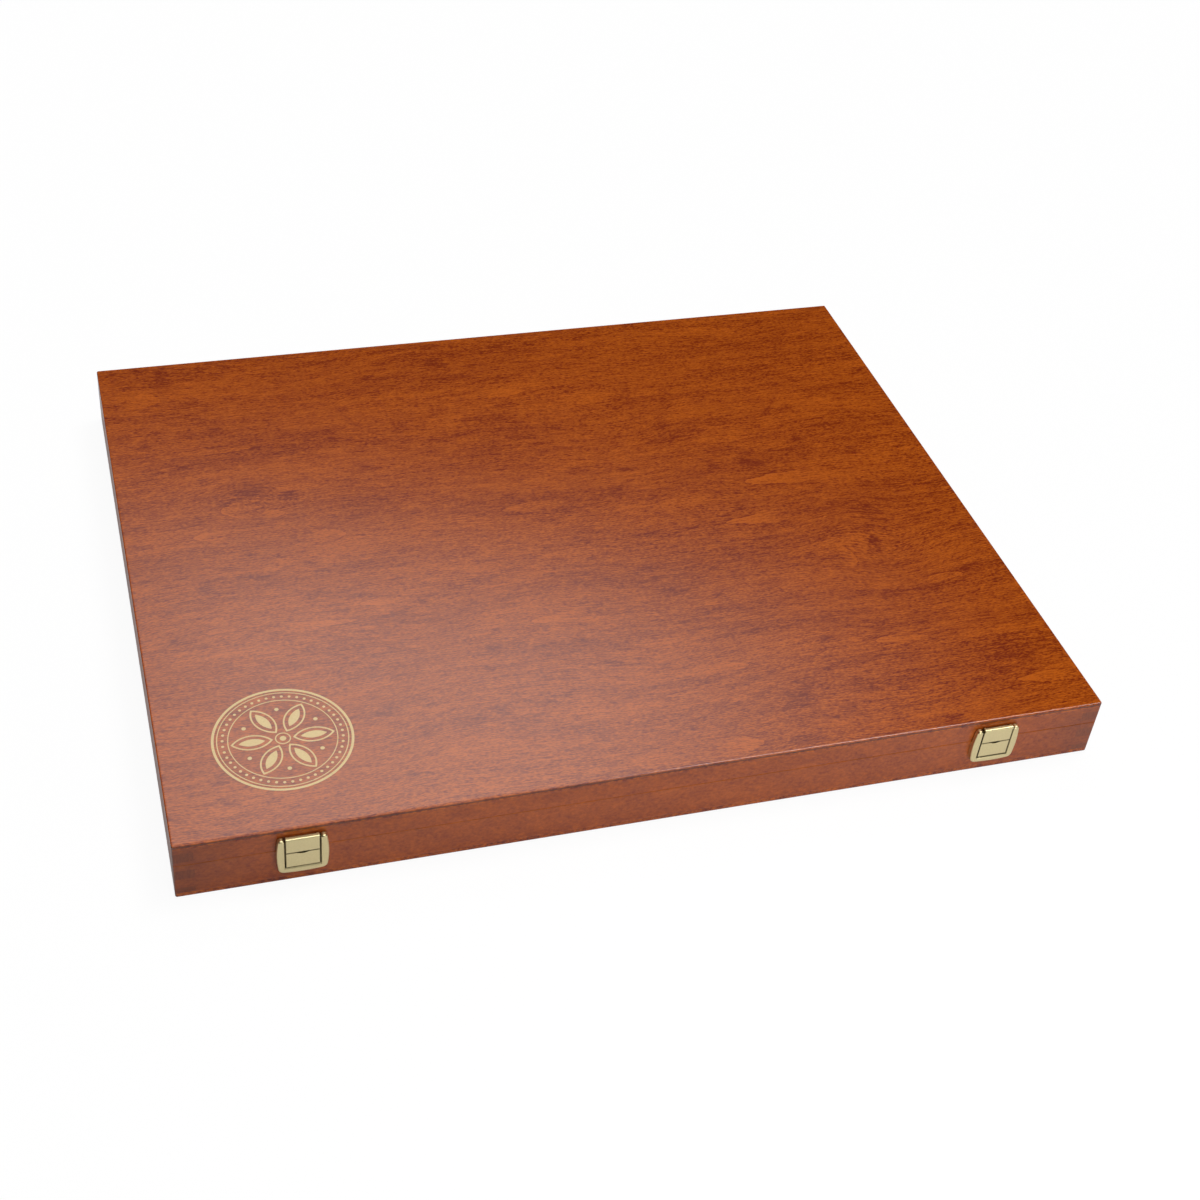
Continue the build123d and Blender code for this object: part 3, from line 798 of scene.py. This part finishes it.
def petal_loop(shape, reach, half_width, steps=14):
    """The closed outline of a pointed petal along X, centred on the origin."""
    half_reach = reach / 2
    radius = (half_reach**2 + half_width**2) / (2 * half_width)
    half_angle = math.asin(half_reach / radius)
    for side in (1, -1):
        start = bmesh.ops.create_vert(shape, co=(-side * half_reach, 0, 0))["vert"]
        centre = (0, -side * (radius - half_width), 0)
        bmesh.ops.spin(shape, geom=start, cent=centre, axis=(0, 0, -1), angle=2 * half_angle, steps=steps)


def place_petal(shape, reach, half_width, turn):
    """A petal's outline out from the rosette's middle, and the edges that wait for a face."""
    petal_middle = 15.2 * MM
    before = set(shape.verts)
    petal_loop(shape, reach * MM, half_width * MM)
    petal = [vert for vert in shape.verts if vert not in before]
    bmesh.ops.remove_doubles(shape, verts=petal, dist=0.01 * MM)
    petal = [vert for vert in shape.verts if vert not in before]
    bmesh.ops.translate(shape, verts=petal, vec=(petal_middle, 0, 0))
    bmesh.ops.rotate(shape, verts=petal, cent=(0, 0, 0), matrix=turn)
    return [edge for edge in shape.edges if not edge.link_faces]


def make_lid_ornament():
    """A six-petal rosette in a beaded double ring, printed in pale gold at the lid's front left corner."""
    place = Vector((-179.3, -136.6, 0)) * MM
    film = 0.03 * MM
    petal_count = 6
    shape = bmesh.new()
    # Rings as radius and width
    for radius, width in ((34.0, 1.3), (31.9, 0.5), (26.6, 0.5), (3.6, 0.6)):
        ring_band(shape, radius * MM, width * MM)
    # Beads and dots as the radius of their circle, their own radius, their number and their turn
    for radius, size, count, turn in ((29.25, 0.75, 48, 0), (20.4, 1.1, petal_count, 30), (0, 1.6, 1, 0)):
        for index in range(count):
            angle = math.radians(turn + 360 * index / count)
            centre = Vector((math.cos(angle), math.sin(angle), 0)) * radius * MM
            spot = Matrix.Translation(centre)
            bmesh.ops.create_circle(shape, cap_ends=True, radius=size * MM, segments=20, matrix=spot)
    # Each petal is a rim between two outlines, with a filled leaf inside it
    for index in range(petal_count):
        turn = Matrix.Rotation(2 * math.pi * index / petal_count, 3, "Z")
        place_petal(shape, 20.6, 5.0, turn)
        bmesh.ops.bridge_loops(shape, edges=place_petal(shape, 18.2, 4.2, turn))
        bmesh.ops.contextual_create(shape, geom=place_petal(shape, 13.0, 2.3, turn))
    bmesh.ops.translate(shape, verts=shape.verts, vec=place + Vector((0, 0, case_high.z - film)))
    skin = bmesh.ops.extrude_face_region(shape, geom=shape.faces[:])["geom"]
    bmesh.ops.translate(shape, verts=verts_in(skin), vec=(0, 0, 2 * film))
    finished_piece("lid_gold_ornament", shape, gold_ink, "lid")


make_lid_ornament()

# Camera, as the photograph was taken: place, direction and a slight roll
camera_data = bpy.data.cameras.new("camera")
camera_data.sensor_width = 36
camera_data.lens = 55.685
camera_data.shift_x = 0.0333
camera_data.shift_y = -0.0333
camera = bpy.data.objects.new("camera", camera_data)
camera_place = Vector((-0.26748, -0.77641, 0.69071))
camera_heading, camera_tilt, camera_roll = (math.radians(d) for d in (19.12, 39.68, 5.47))
camera_turn = (
    Matrix.Rotation(-camera_heading, 4, "Z")
    @ Matrix.Rotation(math.pi / 2 - camera_tilt, 4, "X")
    @ Matrix.Rotation(camera_roll, 4, "Z")
)
camera.matrix_world = Matrix.Translation(camera_place) @ camera_turn
bpy.context.scene.collection.objects.link(camera)
bpy.context.scene.camera = camera


def make_floor():
    """A wide pale floor that shows white and keeps a soft shadow."""
    mesh = bpy.data.meshes.new("floor")
    shape = bmesh.new()
    bmesh.ops.create_grid(shape, x_segments=1, y_segments=1, size=20.0)
    shape.to_mesh(mesh)
    shape.free()
    floor = bpy.data.objects.new("floor", mesh)
    bpy.context.scene.collection.objects.link(floor)
    material, tree, shader, position = new_material(
        "white_floor", Roughness=0.9, Base_Color=(0.66, 0.66, 0.66, 1)
    )
    glow_level, glow_share = 1.04, 0.9
    seen = add_node(tree, "ShaderNodeLightPath").outputs
    # The lacquer mirrors the floor, more brightly towards the right
    brighter_right = remap(tree, split(tree, position)["X"], -0.3, 0.2, 0.26, 0.5)
    mirrored = maths(tree, "MULTIPLY", seen["Is Glossy Ray"], brighter_right)
    white = maths(tree, "MAXIMUM", seen["Is Camera Ray"], mirrored)
    white = maths(tree, "MAXIMUM", white, seen["Is Transmission Ray"])
    glow = add_node(tree, "ShaderNodeEmission", {"Color": (1, 1, 1, 1), "Strength": glow_level}).outputs[0]
    share = maths(tree, "MULTIPLY", white, glow_share)
    mixed = add_node(tree, "ShaderNodeMixShader", {0: share, 1: shader.outputs[0], 2: glow}).outputs[0]
    tree.links.new(mixed, tree.nodes["Material Output"].inputs["Surface"])
    mesh.materials.append(material)


def towards(heading, height):
    """The direction at a heading and height in degrees, seen from the case."""
    heading, height = math.radians(heading), math.radians(height)
    level = Vector((math.sin(heading), math.cos(heading), 0)) * math.cos(height)
    return level + Vector((0, 0, math.sin(height)))


def soft_window(tree, direction):
    """A wide low window of light behind the case with soft edges, which the lacquer mirrors."""
    middle = towards(13.4, 48.2)
    roll = math.radians(6.45)
    # Half widths and half heights, as tangents, to where the window is full and where it ends
    full_width, end_width = 0.047, 0.347
    full_height, end_height = 0.085, 0.195
    level_right = middle.cross((0, 0, 1)).normalized()
    level_up = level_right.cross(middle)
    right = level_right * math.cos(roll) + level_up * math.sin(roll)
    up = level_up * math.cos(roll) - level_right * math.sin(roll)
    depth = maths(tree, "MAXIMUM", measure(tree, "DOT_PRODUCT", direction, middle), 0.01)
    inside = 1.0
    for axis, full, end in ((right, full_width, end_width), (up, full_height, end_height)):
        aside = maths(tree, "DIVIDE", measure(tree, "DOT_PRODUCT", direction, axis), depth)
        share = remap(tree, maths(tree, "ABSOLUTE", aside), full, end, 1.0, 0.0)
        inside = maths(tree, "MULTIPLY", inside, share)
    return inside


def light_patch(tree, direction, middle, end, full, level):
    """A round patch of light. End and full are cosines of the angles from its middle."""
    nearness = measure(tree, "DOT_PRODUCT", direction, middle)
    return remap(tree, nearness, end, full, 0.0, level)


def make_world():
    """Soft light from overhead, brightest above the back right, with a white background."""
    world = bpy.data.worlds.new("studio")
    bpy.context.scene.world = world
    world.use_nodes = True
    tree = world.node_tree
    direction = add_node(tree, "ShaderNodeTexCoord").outputs["Generated"]
    room_level = 0.03
    window_level = 3.05
    level = maths(tree, "MULTIPLY", soft_window(tree, direction), window_level)
    level = maths(tree, "ADD", level, room_level)
    overhead = light_patch(tree, direction, towards(0, 90), 0.85, 0.97, 1.8)
    back_right = light_patch(tree, direction, towards(70, 65), 0.973, 0.993, 11.5)
    front = light_patch(tree, direction, towards(170, 62), 0.94, 0.985, 1.97)
    for patch in (overhead, back_right, front):
        level = maths(tree, "ADD", level, patch)
    light = add_node(tree, "ShaderNodeBackground", {"Color": (1, 1, 1, 1), "Strength": level}).outputs[0]
    white = add_node(tree, "ShaderNodeBackground", {"Color": (1, 1, 1, 1), "Strength": 1.0}).outputs[0]
    seen = add_node(tree, "ShaderNodeLightPath").outputs
    share = maths(tree, "MAXIMUM", seen["Is Camera Ray"], seen["Is Transmission Ray"])
    mixed = add_node(tree, "ShaderNodeMixShader", {0: share, 1: light, 2: white}).outputs[0]
    tree.links.new(mixed, tree.nodes["World Output"].inputs["Surface"])


def add_softbox(name, heading, height, distance, size, level):
    """A soft lamp at a heading and height in degrees, its distance and size in metres."""
    aim = towards(heading, height)
    data = bpy.data.lights.new(name, "AREA")
    data.shape = "RECTANGLE"
    data.size, data.size_y = size
    data.energy = level * math.pi * size[0] * size[1]
    lamp = bpy.data.objects.new(name, data)
    turn = aim.to_track_quat("Z", "Y").to_matrix().to_4x4()
    lamp.matrix_world = Matrix.Translation(aim * distance) @ turn
    bpy.context.scene.collection.objects.link(lamp)


make_floor()
make_world()
add_softbox("front_softbox", 166.4, 10.6, 0.65, (0.4, 0.16), 4.1)
bpy.context.scene.view_settings.view_transform = "Standard"
